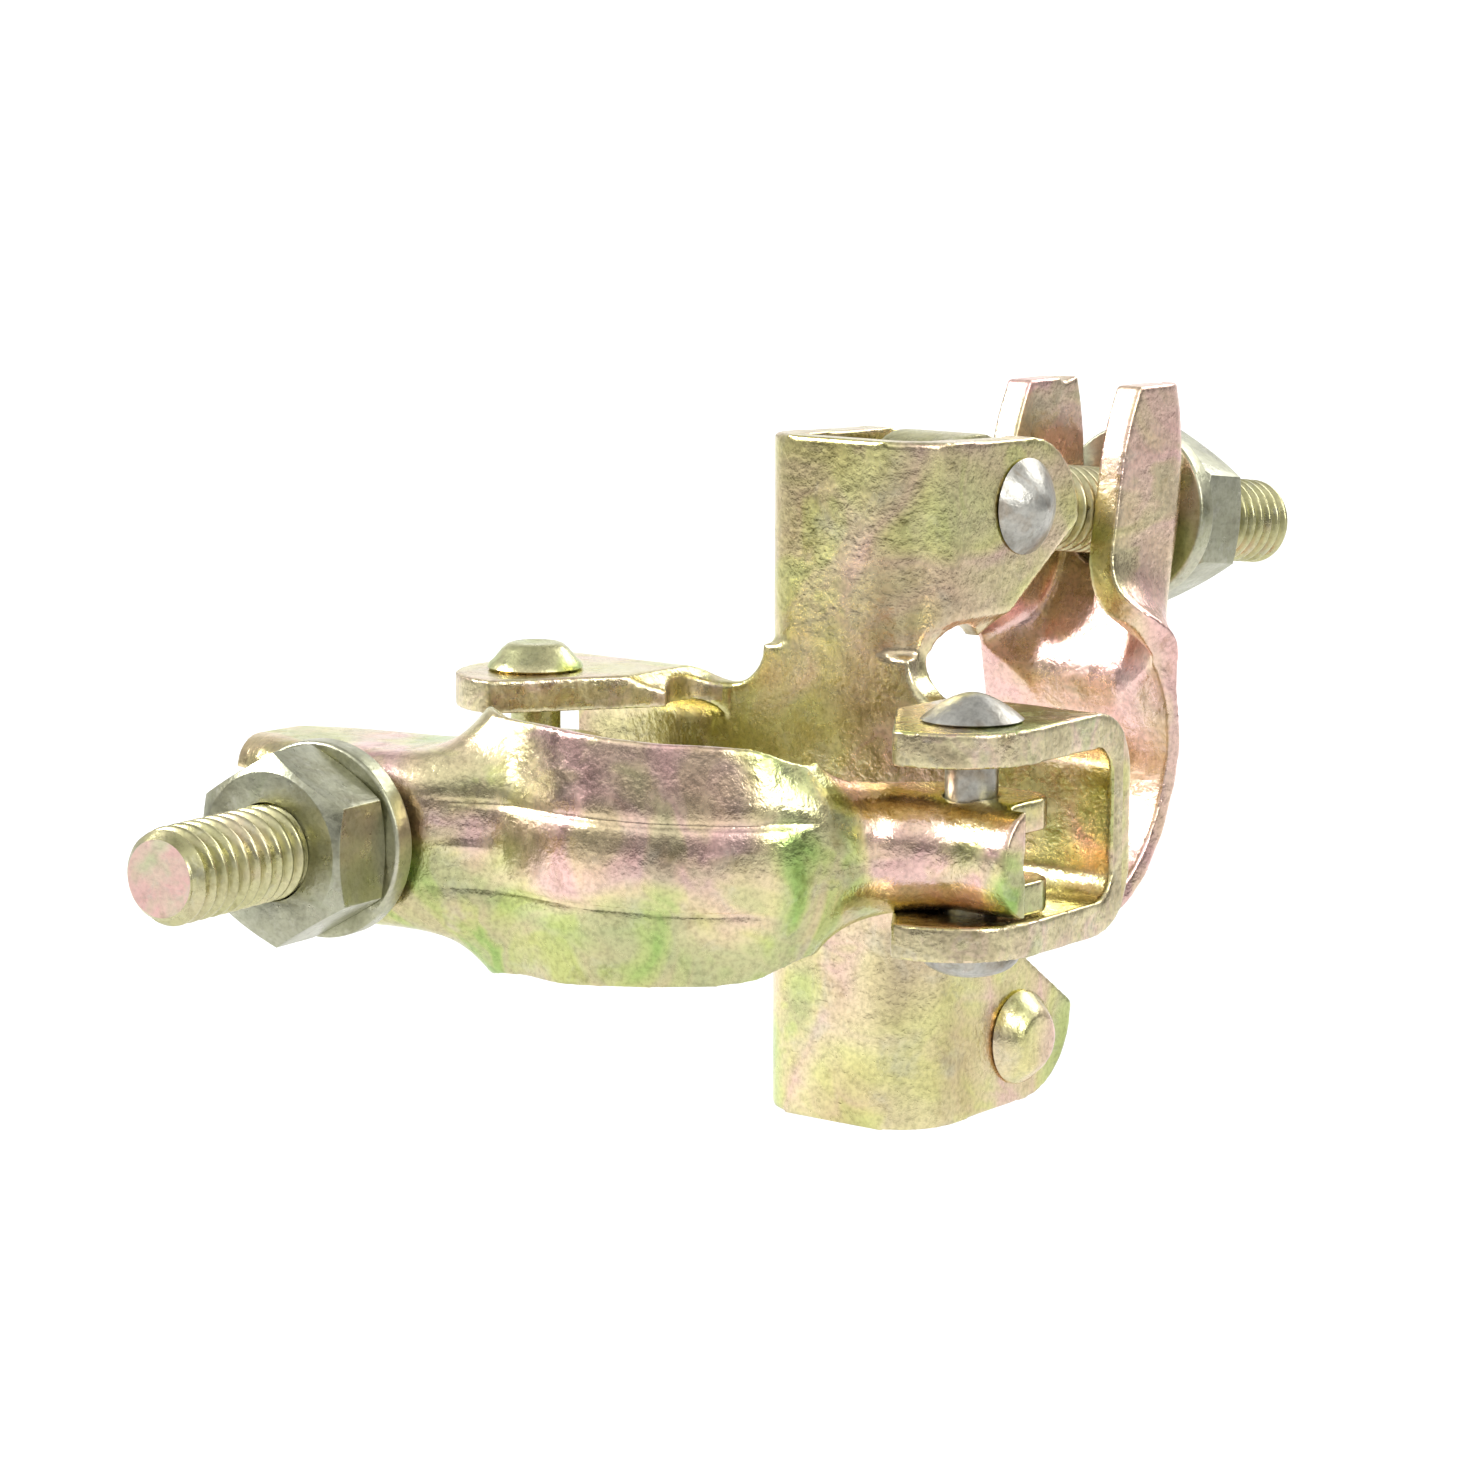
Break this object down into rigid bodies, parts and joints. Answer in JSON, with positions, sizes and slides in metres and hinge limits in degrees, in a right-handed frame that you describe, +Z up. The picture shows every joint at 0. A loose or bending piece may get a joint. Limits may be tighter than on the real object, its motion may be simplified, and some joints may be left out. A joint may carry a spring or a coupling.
{
  "type": "right-angle scaffold coupler",
  "caption": "Pressed-steel right-angle scaffold coupler with hinged caps, swing bolts, washers and nuts that clamp a vertical tube to a horizontal one.",
  "frame": {"origin": "on the vertical tube's axis, level with the horizontal tube's axis", "axes": "+Z up along the vertical tube, +X along the horizontal tube, +Y from the vertical tube's clamp towards the horizontal tube's clamp"},
  "size_m": [0.0948, 0.1981, 0.0948],
  "materials": {
    "plated_plate": "yellow passivated zinc plate with a faint pink and green sheen",
    "rivet_steel": "dull grey steel",
    "bolt_plating": "yellow passivated thread",
    "washer_zinc": "pale zinc",
    "nut_zinc": "pale greenish zinc"
  },
  "bodies": {
    "coupler_body": {"coupler_body": "plated_plate", "front_cap_rivet": "rivet_steel", "front_bolt_rivet": "plated_plate", "rear_cap_rivet": "plated_plate", "rear_bolt_rivet": "rivet_steel"},
    "front_cap": {"front_cap": "plated_plate"},
    "front_bolt": {"front_bolt": "bolt_plating"},
    "front_washer": {"front_washer": "washer_zinc"},
    "front_nut": {"front_nut": "nut_zinc"},
    "rear_cap": {"rear_cap": "plated_plate"},
    "rear_bolt": {"rear_bolt": "bolt_plating"},
    "rear_washer": {"rear_washer": "washer_zinc"},
    "rear_nut": {"rear_nut": "nut_zinc"}
  },
  "joints": [
    {"name": "front_cap_hinge", "type": "hinge", "parent": "coupler_body", "child": "front_cap", "pos_m": [0.0353, 0.00845, -0.0022], "axis": [0, 0, 1], "range_deg": [0, 110]},
    {"name": "front_bolt_swing", "type": "hinge", "parent": "coupler_body", "child": "front_bolt", "pos_m": [-0.0353, 0.00845, -0.0016], "axis": [0, 0, -1], "range_deg": [0, 130]},
    {"name": "front_washer_slide", "type": "slide", "parent": "front_bolt", "child": "front_washer", "axis": [0.1219, -0.9925, 0], "range_m": [0, 0.1359]},
    {"name": "front_nut_turn", "type": "hinge", "parent": "front_washer", "child": "front_nut", "pos_m": [-0.0353, 0.00845, -0.0016], "axis": [0.1219, -0.9925, 0], "continuous": true},
    {"name": "rear_cap_hinge", "type": "hinge", "parent": "coupler_body", "child": "rear_cap", "pos_m": [0, 0.04905, -0.0353], "axis": [-1, 0, 0], "range_deg": [0, 110]},
    {"name": "rear_bolt_swing", "type": "hinge", "parent": "coupler_body", "child": "rear_bolt", "pos_m": [0, 0.04905, 0.0353], "axis": [1, 0, 0], "range_deg": [0, 130]},
    {"name": "rear_washer_slide", "type": "slide", "parent": "rear_bolt", "child": "rear_washer", "axis": [0, 0.9925, -0.1219], "range_m": [0, 0.1359]},
    {"name": "rear_nut_turn", "type": "hinge", "parent": "rear_washer", "child": "rear_nut", "pos_m": [0, 0.04905, 0.0353], "axis": [0, 0.9925, -0.1219], "continuous": true}
  ],
  "couplings": [
    {"joint": "front_washer_slide", "follows": "front_cap_hinge", "m_per_rad": 0.0705},
    {"joint": "rear_washer_slide", "follows": "rear_cap_hinge", "m_per_rad": 0.0705}
  ]
}
